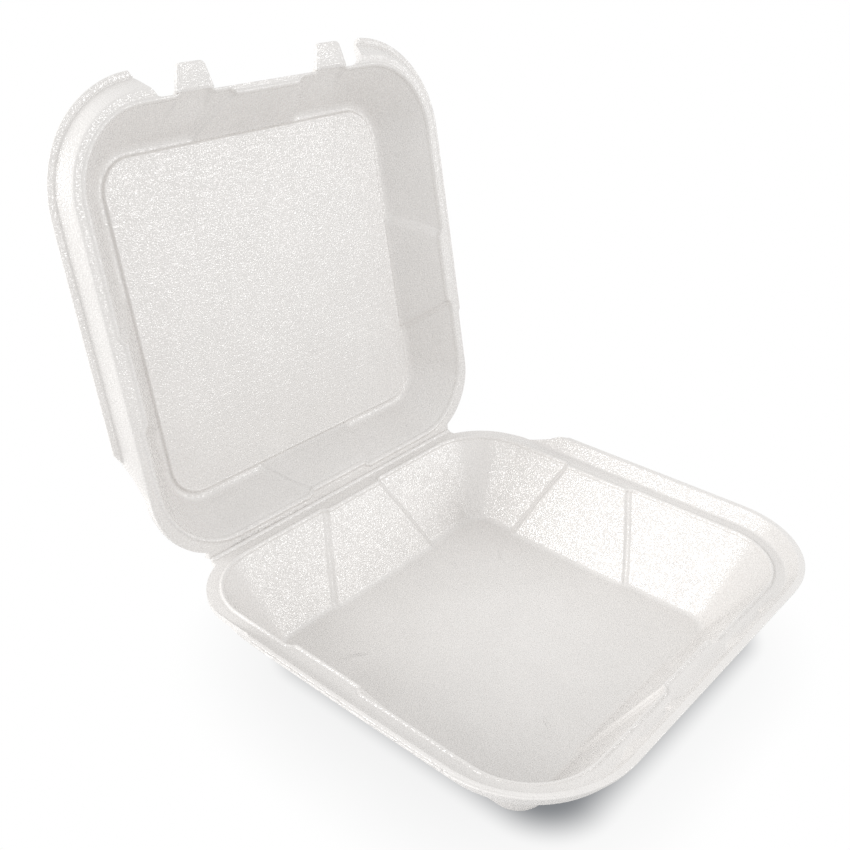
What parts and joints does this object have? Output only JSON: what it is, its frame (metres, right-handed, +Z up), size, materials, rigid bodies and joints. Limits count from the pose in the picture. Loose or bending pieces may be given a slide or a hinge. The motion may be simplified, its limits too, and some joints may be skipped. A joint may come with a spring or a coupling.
{
  "type": "foam clamshell container",
  "caption": "Square hinged take-away food box in white foam, lid open, with tabs on the lid that snap into slots in the tray's rim.",
  "frame": {"origin": "on the tray's flat underside, on the left-right centre plane, midway between the fronts and backs of its rim's straight sides", "axes": "+Z up; +X to the right of someone who faces the tray's front; -Y towards the front, where the closure is; the hinge crease runs along X at the back"},
  "size_m": [0.2152, 0.2569, 0.2371],
  "materials": {
    "foam": "expanded polystyrene foam sheet, matt with a fine cell grain"
  },
  "bodies": {
    "tray": {"tray": "foam"},
    "lid": {"lid": "foam"}
  },
  "joints": [
    {"name": "lid_hinge", "type": "hinge", "parent": "tray", "child": "lid", "pos_m": [0, 0.0967, 0.04005], "axis": [-1, 0, 0], "range_deg": [-98.9, 79.1]}
  ]
}
